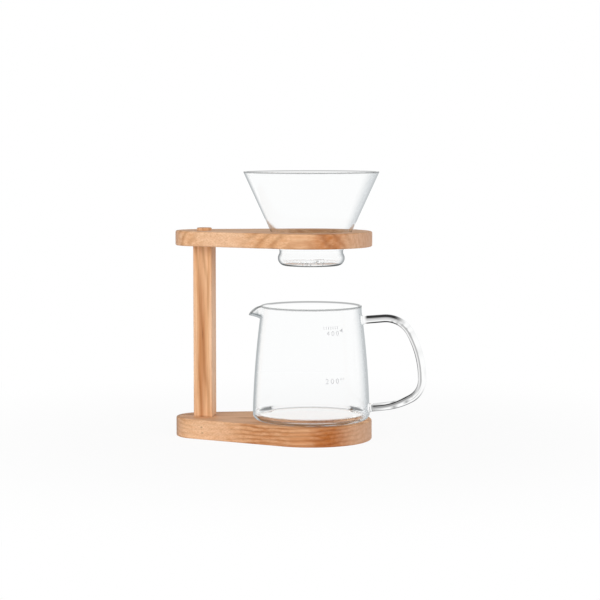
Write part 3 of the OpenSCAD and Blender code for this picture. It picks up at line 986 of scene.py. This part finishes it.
@dataclass
class Stand:
    """Two teardrop boards and the post between them, with the screw that holds its foot."""

    wide_end_r: float = 49 * MM
    narrow_end_r: float = 22 * MM
    end_spacing: float = 90 * MM
    base_t: float = 16 * MM
    upper_t: float = 12 * MM
    board_edge_r: float = 1.2 * MM
    post_w: float = 15.5 * MM
    post_x: float = -88.5 * MM
    bay_h: float = 140 * MM
    post_edge_r: float = 1.0 * MM
    tenon_r: float = 6 * MM
    tenon_proud: float = 2.2 * MM
    tenon_bevel: float = 0.5 * MM
    foot_tenon_l: float = 9 * MM
    tenon_gap: float = 0.1 * MM
    screw_hole_r: float = 2.1 * MM
    screw_head_r: float = 4.1 * MM
    screw_head_h: float = 2.0 * MM
    screw_recess: float = 0.8 * MM
    screw_l: float = 40 * MM
    screw_point_l: float = 5 * MM
    bore_r: float = 28 * MM
    seat_r: float = 32.7 * MM
    seat_gap: float = 0.3 * MM
    seat_bevel: float = 0.6 * MM
    cone_angle: float = math.radians(24.62)
    end_steps: int = 72
    board_edge_steps: int = 5
    post_edge_steps: int = 4
    hole_steps: int = 96

    @property
    def upper_z(self) -> float:
        """Height of the upper board's underside."""
        return self.base_t + self.bay_h

    @property
    def side_angle(self) -> float:
        """Angle of a board's straight side to its length."""
        return math.asin((self.wide_end_r - self.narrow_end_r) / self.end_spacing)

    def build(self) -> None:
        """Builds and dresses the boards and the post, and gives the screw its finish."""
        upper = self._board("upper_board", self.upper_z, self.upper_t, [self._seat, self._tenon_hole])
        base = self._board("base_board_wood", 0.0, self.base_t, [self._foot_socket])
        settle(upper, UPPER_WOOD.make(), "stand", ["dripper_board"])
        settle(base, BASE_WOOD.make(), "stand", ["base_board"])
        settle(self._post(), POST_WOOD.make(), "stand", ["post"])
        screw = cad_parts["base_screw"]
        screw.data.materials.clear()
        screw.data.materials.append(PLAIN_STEEL.make())
        LOG.info("%s: the model's own solid in steel", screw.name)

    def _board(
        self, name: str, z: float, t: float, holes: Sequence[Callable[[BMesh], None]]
    ) -> bpy.types.Object:
        """Sweeps a board's rounded edge round its outline, turns its holes and fills its faces.

        Args:
            name: The piece's name.
            z: The height of its underside.
            t: Its thickness.
            holes: What turns the walls of its holes.

        Returns:
            The board.
        """
        bm = bmesh.new()
        edge_r = self.board_edge_r
        inset = self.wide_end_r - edge_r
        rim = Section(bm, (inset, z)).arc((inset, z + edge_r), 90, self.board_edge_steps)
        rim.line((self.wide_end_r, z + t - edge_r)).arc((inset, z + t - edge_r), 90, self.board_edge_steps)
        chain = rim.chain()
        half_turn = math.pi / 2 + self.side_angle
        turn_about_z(bm, points_of(chain), -half_turn)
        side_l = self.end_spacing * math.cos(self.side_angle)
        towards = Matrix.Rotation(half_turn, 3, "Z") @ Vector((0, side_l, 0))
        back = Vector((-towards.x, towards.y, 0))
        narrow_end = (-self.end_spacing, 0, 0)
        chain = sweep(bm, chain, self.end_steps, 2 * half_turn)
        chain = sweep(bm, chain, slide=towards)
        chain = sweep(bm, chain, self.end_steps, math.tau - 2 * half_turn, narrow_end)
        sweep(bm, chain, slide=back)
        for hole in holes:
            hole(bm)
        fill_at(bm, z, z + t)
        return smooth(as_object(bm, name))

    def _seat(self, bm: BMesh) -> None:
        """Turns the bore and the tapered seat for the dripper.

        Args:
            bm: The upper board's mesh.
        """
        top = self.upper_z + self.upper_t
        slope = math.tan(self.cone_angle)
        wide_r = self.seat_r + self.seat_gap / math.cos(self.cone_angle)
        end_r = wide_r - self.seat_bevel * slope
        seat_start = top - (wide_r - self.bore_r) / slope
        wall = Section(bm, (self.bore_r, self.upper_z)).line((self.bore_r, seat_start))
        wall.line((end_r, top - self.seat_bevel), (end_r + self.seat_bevel, top)).turn(self.hole_steps)

    def _tenon_hole(self, bm: BMesh) -> None:
        """Turns the hole in the upper board for the post's tenon."""
        r, top = self.tenon_r + self.tenon_gap, self.upper_z + self.upper_t
        Section(bm, (r, self.upper_z), self.post_x).line((r, top)).turn(self.hole_steps)

    def _foot_socket(self, bm: BMesh) -> None:
        """Turns the countersunk screw hole under the base and the socket for the post's foot above it.

        Args:
            bm: The base board's mesh.
        """
        socket_r = self.tenon_r + self.tenon_gap
        socket_z = self.base_t - self.foot_tenon_l - self.tenon_gap
        wall = Section(bm, (self.screw_head_r, 0.0), self.post_x).line((self.screw_head_r, self.screw_recess))
        wall.line((self.screw_hole_r, self.screw_recess + self.screw_head_h), (self.screw_hole_r, socket_z))
        wall.line((socket_r, socket_z), (socket_r, self.base_t)).turn(self.hole_steps)

    def _post(self) -> bpy.types.Object:
        """Builds the square post with a round tenon turned on each end.

        Returns:
            The post.
        """
        bm = bmesh.new()
        low, high = self.base_t, self.upper_z
        add_block(bm, (self.post_w, self.post_w, self.bay_h), (self.post_x, 0.0, (low + high) / 2))
        ends = [face for face in bm.faces if abs(face.normal.z) > 0.5]
        bmesh.ops.delete(bm, geom=ends, context="FACES_ONLY")
        round_off(bm, rising_edges(bm, self.bay_h / 2), self.post_edge_r, self.post_edge_steps)
        r, bevel = self.tenon_r, self.tenon_bevel
        top = high + self.upper_t + self.tenon_proud
        upper = Section(bm, (r, high), self.post_x)
        upper.line((r, top - bevel), (r - bevel, top), (0.0, top)).turn(self.hole_steps)
        foot = low - self.foot_tenon_l
        pilot_end = self.screw_recess + self.screw_l
        lower = Section(bm, (r, low), self.post_x)
        lower.line((r, foot + bevel), (r - bevel, foot), (self.screw_hole_r, foot))
        lower.line((self.screw_hole_r, pilot_end - self.screw_point_l), (0.0, pilot_end))
        lower.turn(self.hole_steps)
        fill_at(bm, low, high)
        return smooth(as_object(bm, "post_wood"))


@dataclass
class Dripper:
    """The glass dripper: a cone on a bulged cup, with ribs and drain holes in its flat floor."""

    foot_z: float = 140.5 * MM
    cone_top_r: float = 54.7 * MM
    seat_r: float = 32.7 * MM
    rim_rise: float = 48 * MM
    cup_drop: float = 27.5 * MM
    cup_r: float = 26.9 * MM
    cup_round_r: float = 6 * MM
    waist_r: float = 4 * MM
    waist_depth: float = 1.35 * MM
    wall: float = 2.4 * MM
    floor_t: float = 3 * MM
    inner_r: float = 3 * MM
    rim_edge_r: float = 0.5 * MM
    lip_h: float = 0.8 * MM
    drain_count: int = 3
    drain_r: float = 2.25 * MM
    drain_offset: float = 7.5 * MM
    rib_h: float = 1.5 * MM
    rib_w: float = 3 * MM
    rib_reach: float = 15 * MM
    rib_edge_r: float = 0.5 * MM
    rib_end_share: float = 0.49
    turn_steps: int = 192
    cup_steps: int = 18
    waist_steps: int = 10
    inner_waist_steps: int = 12
    inner_steps: int = 8
    rim_steps: int = 6
    rib_end_steps: int = 8
    rib_edge_steps: int = 3
    drain_steps: int = 40

    def build(self) -> None:
        """Turns the glass, adds the ribs, drills the drain holes and dresses the piece."""
        glass = self._turned()
        step = math.tau / self.drain_count
        for i in range(self.drain_count):
            combine(glass, self._rib(step * (i + 0.5)), "UNION")
        for i in range(self.drain_count):
            combine(glass, self._drill(step * i), "DIFFERENCE")
        weld(glass)
        low = self.foot_z
        finish = GlassFinish(
            "dripper_glass", lit_from=low + 2 * MM, lit_to=low + 30 * MM, wall_from=low - MM,
            line_turn=(0.66, 0.88), mirror_to=low + 3 * MM, deep_to=low + 14 * MM, seat_z=low + 29.5 * MM,
        )
        settle(smooth(glass), finish.make(), "dripper", ["dripper"])

    def _turned(self) -> bpy.types.Object:
        """Turns the section of the cup and the cone.

        Returns:
            The glass, without ribs and holes.
        """
        z = self.foot_z
        cone = math.atan((self.cone_top_r - self.seat_r) / self.rim_rise)
        cup_x = self.cup_r - self.cup_round_r
        cup_c = (cup_x, z + self.cup_round_r)
        reach = self.cup_round_r + self.waist_r
        waist_turn = math.acos((reach - self.waist_depth) / reach)
        waist_c = (cup_x + reach * math.cos(waist_turn), cup_c[1] + reach * math.sin(waist_turn))
        inside_r = self.wall + self.waist_r
        edge_r = self.rim_edge_r
        edge_z = self.cup_drop + self.rim_rise - edge_r
        outer_x = self.seat_r + (edge_z - self.cup_drop) * math.tan(cone) - edge_r / math.cos(cone)
        inner_x = outer_x - (self.wall - 2 * edge_r) / math.cos(cone)
        corner_c = (self.cup_r - self.wall - self.inner_r, z + self.floor_t + self.inner_r)
        top_x, top_z = outer_x + edge_r * math.cos(cone), z + edge_z - edge_r * math.sin(cone)
        low_z = z + edge_z - self.lip_h
        outside_x = top_x - (top_z - low_z) * math.tan(cone)
        lean, bend = math.degrees(cone), math.degrees(waist_turn)
        bm = bmesh.new()
        section = Section(bm, (0.0, z)).line((cup_x, z)).arc(cup_c, 90 + bend, self.cup_steps)
        section.arc(waist_c, -(bend + lean), self.waist_steps).line((outside_x, low_z), (top_x, top_z))
        section.arc((outer_x, z + edge_z), 90 + lean, self.rim_steps).line((inner_x, z + edge_z + edge_r))
        section.arc((inner_x, z + edge_z), 90 - lean, self.rim_steps)
        section.line((outside_x - self.wall / math.cos(cone), low_z))
        section.line((waist_c[0] - inside_r * math.cos(cone), waist_c[1] + inside_r * math.sin(cone)))
        section.arc(waist_c, bend + lean, self.inner_waist_steps).arc(cup_c, -bend, self.inner_steps)
        section.arc(corner_c, -90, self.inner_steps).line((0.0, z + self.floor_t)).turn(self.turn_steps)
        turn_about_z(bm, bm.verts, math.pi / self.turn_steps)
        close_up(bm)
        mark_lip(bm, low_z + WELD)
        return as_object(bm, "dripper_glass")

    def _rib(self, angle: float) -> bpy.types.Object:
        """A rib with a round end, from the middle of the floor outwards.

        Args:
            angle: The way that it runs.

        Returns:
            The rib.
        """
        bm = bmesh.new()
        low, high = self.foot_z + self.floor_t / 2, self.foot_z + self.floor_t + self.rib_h
        middle = self.rib_reach / 2
        add_block(bm, (self.rib_reach, self.rib_w, high - low), (middle, 0.0, (low + high) / 2))
        ends = [edge for edge in rising_edges(bm, self.rib_h) if edge.verts[0].co.x > middle]
        round_off(bm, ends, self.rib_w * self.rib_end_share, self.rib_end_steps)
        rims = [edge for edge in bm.edges if all(vert.co.z > high - WELD for vert in edge.verts)]
        round_off(bm, rims, self.rib_edge_r, self.rib_edge_steps)
        turn_about_z(bm, bm.verts, angle)
        close_up(bm)
        return as_object(bm, "rib")

    def _drill(self, angle: float) -> bpy.types.Object:
        """A drill for one drain hole.

        Args:
            angle: Where the hole lies about the axis.

        Returns:
            The drill.
        """
        bm = bmesh.new()
        place = Matrix.Rotation(angle, 4, "Z") @ Matrix.Translation((self.drain_offset, 0.0, self.foot_z))
        bmesh.ops.create_cone(
            bm, cap_ends=True, segments=self.drain_steps, radius1=self.drain_r, radius2=self.drain_r,
            depth=4 * self.floor_t, matrix=place,
        )
        return as_object(bm, "drill")


class Rod:
    """A round rod in the upright plane through the axis, drawn on from ring to ring."""

    def __init__(self, bm: BMesh, heading: float, radius: float, sides: int) -> None:
        """Starts the rod at the origin, with a ring that is square to its way ahead.

        Args:
            bm: The empty mesh that it is drawn in.
            heading: The way ahead, as an angle from out to up.
            radius: The ring's radius.
            sides: How many sides the rod has.
        """
        self.bm = bm
        self.heading = heading
        square = self.ahead.to_track_quat("Z", "Y").to_matrix().to_4x4()
        bmesh.ops.create_circle(bm, segments=sides, radius=radius, matrix=square)
        self.ring = [*bm.verts, *bm.edges]

    @property
    def ahead(self) -> Vector:
        """The way ahead."""
        return Vector((math.cos(self.heading), 0.0, math.sin(self.heading)))

    @property
    def middle(self) -> Vector:
        """The middle of the last ring."""
        places = [vert.co for vert in points_of(self.ring)]
        return sum(places, Vector()) / len(places)

    def to_x(self, place: Vector, x: float) -> Vector:
        """The way from a place, ahead or back, to where the rod's line meets an X."""
        return self.ahead * ((x - place.x) / self.ahead.x)

    def place(self, middle: Vector) -> None:
        """Moves the first ring from the origin to its place."""
        bmesh.ops.translate(self.bm, verts=self.bm.verts, vec=middle)

    def draw(self, way: Vector, scale: float = 1.0) -> None:
        """Draws the rod straight on and widens its last ring.

        Args:
            way: How far it goes, and which way.
            scale: How much the ring widens.
        """
        self.ring = sweep(self.bm, self.ring, slide=way)
        space = Matrix.Translation(-self.middle)
        bmesh.ops.scale(self.bm, vec=(scale, scale, scale), space=space, verts=points_of(self.ring))

    def flare(self, length: float, start_r: float, end_r: float, steps: int) -> None:
        """Draws the rod on along a weld's flare.

        Args:
            length: The flare's length.
            start_r: The radius that it starts with.
            end_r: The radius that it ends with.
            steps: How many rings it adds.
        """
        narrow, wide = min(start_r, end_r), max(start_r, end_r)
        radii = [narrow + (wide - narrow) * (1 - i / steps) ** 2 for i in range(steps + 1)]
        if end_r > start_r:
            radii.reverse()
        for old, new in zip(radii, radii[1:]):
            self.draw(self.ahead * length / steps, new / old)

    def bend(self, radius: float, turn: float, steps: int) -> None:
        """Draws the rod on round a bend.

        Args:
            radius: The bend's radius.
            turn: Its angle, from out to up.
            steps: How many rings it adds.
        """
        centre = self.middle + radius * Vector((-self.ahead.z, 0.0, self.ahead.x))
        self.ring = sweep(self.bm, self.ring, steps, turn, centre, axis=(0, -1, 0))
        self.heading += turn


@dataclass(frozen=True)
class Mark:
    """One printed mark on the jug's wall: its words, and the middle, rise and height of their line."""

    words: str
    bearing: float
    rise: float
    height: float


@dataclass
class Jug:
    """The glass jug: a tapered wall with a drawn spout, and a rod handle welded to it."""

    foot_z: float = 16 * MM
    height: float = 92.4 * MM
    base_r: float = 47.25 * MM
    neck_r: float = 39.9 * MM
    belly: float = 1.3 * MM
    flare: float = 0.9 * MM
    flare_h: float = 7 * MM
    wall: float = 2 * MM
    floor_t: float = 3.2 * MM
    foot_r: float = 5 * MM
    inner_r: float = 4 * MM
    ring_w: float = 6 * MM
    kick: float = 1.2 * MM
    spout_reach: float = 11 * MM
    spout_drop: float = 7.5 * MM
    spout_depth: float = 13 * MM
    spout_half_angle: float = math.radians(22)
    spout_thinning: float = 0.3
    spout_bend: float = 2.2
    spout_curl: float = 1.9
    spout_step: float = 0.01
    rod_r: float = 3.3 * MM
    handle_reach: float = 90.4 * MM
    upper_arm_drop: float = 9.5 * MM
    lower_arm_h: float = 11.9 * MM
    upper_corner_r: float = 22.2 * MM
    side_lean: float = math.radians(29.0)
    upper_arm_slope: float = math.radians(5.5)
    lower_corner_r: float = 17.8 * MM
    lower_corner_turn: float = math.radians(61.0)
    lower_arm_r: float = 57 * MM
    lower_arm_turn: float = math.radians(21.7)
    weld_r: float = 4.3 * MM
    weld_l: float = 3 * MM
    turn_steps: int = 240
    foot_steps: int = 12
    wall_steps: int = 12
    spout_steps: int = 16
    rim_steps: int = 12
    inner_steps: int = 10
    rod_sides: int = 32
    rod_step: float = math.radians(4.0)
    rod_steps_min: int = 6
    weld_steps: int = 6
    marks: tuple[Mark, ...] = (
        Mark("400", -55.3, 73.4 * MM, 3.7 * MM),
        Mark("200", -57.6, 35.9 * MM, 4.1 * MM),
        Mark("ml", -47.0, 37.4 * MM, 2.0 * MM),
    )
    pointer: Mark = Mark("", -44.4, 75.3 * MM, 3.9 * MM)
    ticks: Mark = Mark("", -57.4, 77.7 * MM, 2.3 * MM)
    tick_count: int = 7
    tick_gap: float = 1.9 * MM
    tick_w: float = 0.5 * MM
    letter_gap: float = 1.5
    print_t: float = 0.05 * MM

    @property
    def rim_z(self) -> float:
        """Height of the rim's rounding centre above the foot."""
        return self.height - self.wall / 2

    @property
    def spout_root(self) -> float:
        """Height above the foot from which the spout is drawn."""
        return self.height - self.spout_depth

    def build(self) -> None:
        """Turns the body, draws its spout, welds the handle on and dresses the glass and its marks."""
        glass = self._body()
        combine(glass, self._handle(), "UNION")
        low = self.foot_z
        finish = GlassFinish(
            "jug_glass", lit_from=low - MM, lit_to=low + 10 * MM, wall_from=low + 4.5 * MM,
            line_turn=(0.58, 0.78), mirror_to=low + 9 * MM, spout_left=-44 * MM, spout_right=-36 * MM,
            spout_low=low + 83.5 * MM, rod_from=51.5 * MM, painted_reflections=ROD_PAINTED_REFLECTIONS,
        )
        settle(smooth(glass), finish.make(), "jug", ["jug_body", "jug_handle"])
        settle(self._prints(), GREY_ENAMEL.make(), "jug", [])

    def radius(self, z: float) -> float:
        """Outside radius of the wall.

        Args:
            z: The height above the foot.

        Returns:
            The radius.
        """
        share = (z - self.foot_r) / (self.height - self.foot_r)
        flare = max(0.0, (z - self.height + self.flare_h) / self.flare_h)
        taper = self.base_r + (self.neck_r - self.base_r) * share
        return taper + self.belly * 4 * share * (1 - share) + self.flare * flare**2

    def _heights(self, start: float) -> list[float]:
        """Heights of the wall's points, closer together where the spout is drawn from it."""
        ends = [(start, self.spout_root, self.wall_steps), (self.spout_root, self.rim_z, self.spout_steps)]
        return [low + (high - low) * (i + 1) / steps for low, high, steps in ends for i in range(steps)]

    def _body(self) -> bpy.types.Object:
        """Turns the foot, the wall and the floor, and draws out the spout.

        Returns:
            The body, without its handle.
        """
        foot_c = self.radius(self.foot_r) - self.foot_r
        hollow_r = foot_c - self.ring_w
        inner_z = self.floor_t + self.inner_r
        inner_c = self.radius(inner_z) - self.wall - self.inner_r
        rim = (self.radius(self.rim_z) - self.wall / 2, self.rim_z)
        inside = [*self._heights(inner_z)[-2::-1], inner_z]
        bm = bmesh.new()
        section = Section(bm, (0.0, self.kick)).line((hollow_r - self.kick, self.kick), (hollow_r, 0.0))
        section.line((foot_c, 0.0)).arc((foot_c, self.foot_r), 90, self.foot_steps)
        section.line(*[(self.radius(z), z) for z in self._heights(self.foot_r)]).arc(rim, 180, self.rim_steps)
        section.line(*[(self.radius(z) - self.wall, z) for z in inside])
        section.arc((inner_c, inner_z), -90, self.inner_steps).line((0.0, self.floor_t)).turn(self.turn_steps)
        close_up(bm)
        mark_lip(bm, self.rim_z - WELD)
        for vert in bm.verts:
            self._draw_spout(vert)
        lift(bm, self.foot_z)
        bm.normal_update()
        return as_object(bm, "jug_glass")

    def _spout_mid(self, q: float, pull: float) -> Vector:
        """Middle of the drawn wall.

        Args:
            q: The share of the spout's depth, from its root up.
            pull: How far the wall is drawn out there, from 0 to 1.

        Returns:
            Its radius and its height.
        """
        z = self.spout_root + q * (self.rim_z - self.spout_root)
        drawn = max(q, 0.0)
        out = self.radius(z) - self.wall / 2 + self.spout_reach * pull * drawn**self.spout_bend
        return Vector((out, z - self.spout_drop * pull**self.spout_curl * drawn))

    def _draw_spout(self, vert: BMVert) -> None:
        """Moves a point of the turned wall to its place in the spout, if it lies in its reach.

        Args:
            vert: The point.
        """
        angle = math.atan2(-vert.co.y, -vert.co.x)
        share = angle / self.spout_half_angle
        if vert.co.z <= self.spout_root or abs(share) >= 1:
            return
        pull = math.cos(math.pi / 2 * share) ** 2
        q = min(1.0, (vert.co.z - self.spout_root) / (self.rim_z - self.spout_root))
        above, below = (self._spout_mid(q + step, pull) for step in (self.spout_step, -self.spout_step))
        up = (above - below).normalized()
        out = Vector((up.y, -up.x))
        plain = Vector((math.hypot(vert.co.x, vert.co.y), vert.co.z)) - self._spout_mid(q, 0.0)
        thinner = 1 - self.spout_thinning * pull * q
        moved = self._spout_mid(q, pull) + (plain.x * out + plain.y * up) * thinner
        vert.co = (-moved.x * math.cos(angle), -moved.x * math.sin(angle), moved.y)

    def _bends(self) -> list[Point]:
        """The handle's bends, from its foot up.

        Returns:
            Each bend's radius and turn.
        """
        corner, arm, lean = self.lower_corner_turn, self.lower_arm_turn, self.side_lean
        rise = self.lower_corner_r * math.sin(corner)
        rise += self.lower_arm_r * (math.sin(corner + arm) - math.sin(corner))
        room = self.height - self.upper_arm_drop - self.lower_arm_h - rise
        side_r = (room - self.upper_corner_r * (1 - math.sin(lean))) / math.sin(lean)
        return [
            (self.lower_arm_r, arm),
            (self.lower_corner_r, corner),
            (side_r, lean),
            (self.upper_corner_r, math.pi / 2 - lean + self.upper_arm_slope),
        ]

    def _handle(self) -> bpy.types.Object:
        """Draws the rod from its lower weld through its four bends to its upper weld.

        Returns:
            The handle.
        """
        corner, arm = self.lower_corner_turn, self.lower_arm_turn
        heading = math.pi / 2 - corner - arm
        start_x = self.handle_reach - self.lower_corner_r * (1 - math.cos(corner))
        start_x -= self.lower_arm_r * (math.cos(corner) - math.cos(corner + arm))
        start = Vector((start_x, 0.0, self.lower_arm_h))
        sunk = self.wall / 2
        bm = bmesh.new()
        rod = Rod(bm, heading, self.weld_r, self.rod_sides)
        rod.place(start + rod.to_x(start, self.radius(self.lower_arm_h)) - rod.ahead * sunk)
        rod.draw(rod.ahead * sunk)
        rod.flare(self.weld_l, self.weld_r, self.rod_r, self.weld_steps)
        rod.draw(start - rod.middle)
        for radius, turn in self._bends():
            rod.bend(radius, turn, max(self.rod_steps_min, round(turn / self.rod_step)))
        to_wall = rod.to_x(rod.middle, self.radius(self.height - self.upper_arm_drop))
        rod.draw(to_wall - rod.ahead * self.weld_l)
        rod.flare(self.weld_l, self.rod_r, self.weld_r, self.weld_steps)
        rod.draw(rod.ahead * sunk)
        bmesh.ops.holes_fill(bm, edges=[edge for edge in bm.edges if len(edge.link_faces) == 1])
        lift(bm, self.foot_z)
        close_up(bm)
        return as_object(bm, "rod_handle")

    def _prints(self) -> bpy.types.Object:
        """Wraps the marks round the wall and gives them their thickness.

        Returns:
            The marks.
        """
        bm = bmesh.new()
        for mark in self.marks:
            self._wrap(mark, self._words(bm, mark))
        point_up = Matrix.Rotation(math.pi / 2, 4, "Z")
        made = bmesh.ops.create_circle(
            bm, cap_ends=True, segments=3, radius=self.pointer.height / 2, matrix=point_up
        )
        self._wrap(self.pointer, made["verts"])
        shape = Matrix.Diagonal((self.tick_w, self.ticks.height, 1.0, 1.0))
        for i in range(self.tick_count):
            aside = (i - (self.tick_count - 1) / 2) * self.tick_gap
            place = Matrix.Translation((aside, 0.0, 0.0)) @ shape
            made = bmesh.ops.create_grid(bm, x_segments=1, y_segments=1, size=0.5, matrix=place)
            self._wrap(self.ticks, made["verts"])
        lifted = bmesh.ops.extrude_face_region(bm, geom=bm.faces, use_keep_orig=True)["geom"]
        for vert in points_of(lifted):
            vert.co += Vector((vert.co.x, vert.co.y, 0.0)).normalized() * self.print_t
        lift(bm, self.foot_z)
        close_up(bm)
        return as_object(bm, "printed_marks")

    def _words(self, bm: BMesh, mark: Mark) -> list[BMVert]:
        """Adds a mark's words to a mesh, flat, about the origin and at the mark's height.

        Args:
            bm: The mesh.
            mark: The mark.

        Returns:
            The words' points.
        """
        there_before = {*bm.verts}
        curve = bpy.data.curves.new("words", "FONT")
        curve.body = mark.words
        curve.space_character = self.letter_gap
        source = bpy.data.objects.new("words", curve)
        mesh = bpy.data.meshes.new_from_object(source)
        bm.from_mesh(mesh)
        bpy.data.objects.remove(source)
        bpy.data.curves.remove(curve)
        bpy.data.meshes.remove(mesh)
        verts = [vert for vert in bm.verts if vert not in there_before]
        low, high = (Vector([end(vert.co[i] for vert in verts) for i in range(3)]) for end in (min, max))
        bmesh.ops.translate(bm, verts=verts, vec=-(low + high) / 2)
        bmesh.ops.scale(bm, verts=verts, vec=[mark.height / (high.y - low.y)] * 3)
        return verts

    def _wrap(self, mark: Mark, verts: Iterable[BMVert]) -> None:
        """Wraps flat points round the wall, about a mark's place.

        Args:
            mark: The mark.
            verts: Its points.
        """
        for vert in verts:
            z = mark.rise + vert.co.y
            r = self.radius(z)
            angle = math.radians(mark.bearing) + vert.co.x / r
            vert.co = (r * math.cos(angle), r * math.sin(angle), z)


@dataclass(frozen=True)
class Lamp:
    """A square soft lamp that faces the middle of the object and isn't seen in it."""

    name: str
    place: Place
    watts: float
    size: float = 2.0
    aim: Place = (0.0, 0.0, 0.1)

    def build(self) -> None:
        """Hangs the lamp."""
        data = bpy.data.lights.new(self.name, "AREA")
        data.size = self.size
        data.energy = self.watts
        lamp = bpy.data.objects.new(self.name, data)
        lamp.location = self.place
        lamp.visible_camera = False
        lamp.visible_glossy = False
        lamp.visible_transmission = False
        ahead = Vector(self.aim) - Vector(self.place)
        lamp.rotation_euler = ahead.to_track_quat("-Z", "Y").to_euler()
        bpy.context.scene.collection.objects.link(lamp)


@dataclass
class Studio:
    """A white sweep, soft lamps and a camera at the height of a table."""

    camera_distance: float = 1.561
    camera_height: float = 0.245
    camera_azimuth: float = math.radians(11)
    camera_pitch: float = math.radians(4.85)
    camera_yaw: float = math.radians(0.333)
    lens: float = 116.6
    fill: float = 0.62
    fill_loss: float = 0.68
    floor_r: float = 12.0
    shadow_reach: Point = (0.1, 0.45)
    shadow_share: float = 0.07
    lamps: tuple[Lamp, ...] = (
        Lamp("key", (-0.9, -2.0, 0.6), 28.0),
        Lamp("side", (1.7, -1.5, 0.6), 25.0),
    )

    def build(self) -> None:
        """Sets the floor, the world, the lamps and the camera."""
        bpy.context.scene.view_settings.view_transform = "Standard"
        self._floor()
        self._world()
        for lamp in self.lamps:
            lamp.build()
        self._camera()

    def _floor(self) -> None:
        """A wide white floor that keeps a soft shadow near the object."""
        bm = bmesh.new()
        bmesh.ops.create_circle(bm, cap_ends=True, segments=64, radius=self.floor_r)
        floor = as_object(bm, "floor")
        recipe = Recipe(bpy.data.materials.new("white_sweep"))
        away = recipe.length(recipe.coords()).ramp(*self.shadow_reach)
        share = recipe.seen() * (away * self.shadow_share + (1 - self.shadow_share))
        matt = recipe.node("ShaderNodeBsdfDiffuse", inputs={"Color": (0.9, 0.9, 0.9, 1.0)})
        white = recipe.node("ShaderNodeEmission", inputs={"Color": WHITE, "Strength": 1.0})
        floor.data.materials.append(recipe.finish(recipe.blend(share, matt, white)))

    def _world(self) -> None:
        """White behind everything, and a softer light, weaker from above, on what is lit by it."""
        recipe = Recipe(bpy.data.worlds.new("white_room"))
        way = recipe.wire("ShaderNodeTexCoord", output="Generated")
        glow = (1 - recipe.split(way)[2].ramp(0.1, 0.9) * self.fill_loss) * self.fill
        light, white = (
            recipe.node("ShaderNodeBackground", inputs={"Color": WHITE, "Strength": strength})
            for strength in (glow, 1.0)
        )
        both = recipe.blend(recipe.seen(), light, white)
        bpy.context.scene.world = recipe.finish(both, "ShaderNodeOutputWorld")

    def _camera(self) -> None:
        """A long lens that looks slightly down, a little to the left of the jug's axis."""
        data = bpy.data.cameras.new("camera")
        data.lens = self.lens
        camera = bpy.data.objects.new("camera", data)
        azimuth = self.camera_azimuth
        camera.location = (
            self.camera_distance * math.sin(azimuth),
            -self.camera_distance * math.cos(azimuth),
            self.camera_height,
        )
        camera.rotation_euler = (math.pi / 2 - self.camera_pitch, 0.0, azimuth + self.camera_yaw)
        bpy.context.scene.collection.objects.link(camera)
        bpy.context.scene.camera = camera


def main() -> None:
    """Builds the set piece by piece, then the studio around it."""
    logging.basicConfig(level=logging.INFO, format="%(message)s")
    Stand().build()
    Dripper().build()
    Jug().build()
    Studio().build()


if __name__ == "__main__":
    main()
